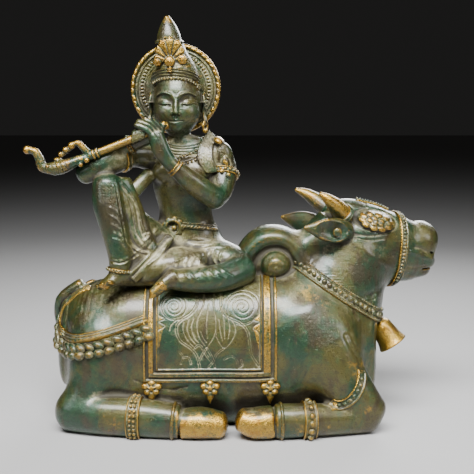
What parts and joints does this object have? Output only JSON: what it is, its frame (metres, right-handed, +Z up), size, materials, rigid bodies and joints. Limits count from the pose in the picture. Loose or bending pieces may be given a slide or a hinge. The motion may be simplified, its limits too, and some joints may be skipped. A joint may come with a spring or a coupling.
{
  "type": "krishna figure",
  "caption": "Cast bronze group of a flute player seated sideways on a lying humped bull, with a tall crown, a disc halo, a saddle cloth, harness bands and a bell.",
  "frame": {"origin": "on the ground plane, under the middle of the bull's flat underside", "axes": "+X towards the bull's head, -Y towards the viewer whom the player faces, +Z up"},
  "size_m": [0.2902, 0.126, 0.2846],
  "materials": {
    "patinated_bronze": "green and brown patina under wax, dusty in the carving and rubbed to brass on the edges",
    "rubbed_brass": "rubbed bright with a brown patina in the recesses"
  },
  "bodies": {
    "root": {"bull": "patinated_bronze", "flute_player": "patinated_bronze", "flute": "rubbed_brass"}
  },
  "joints": []
}
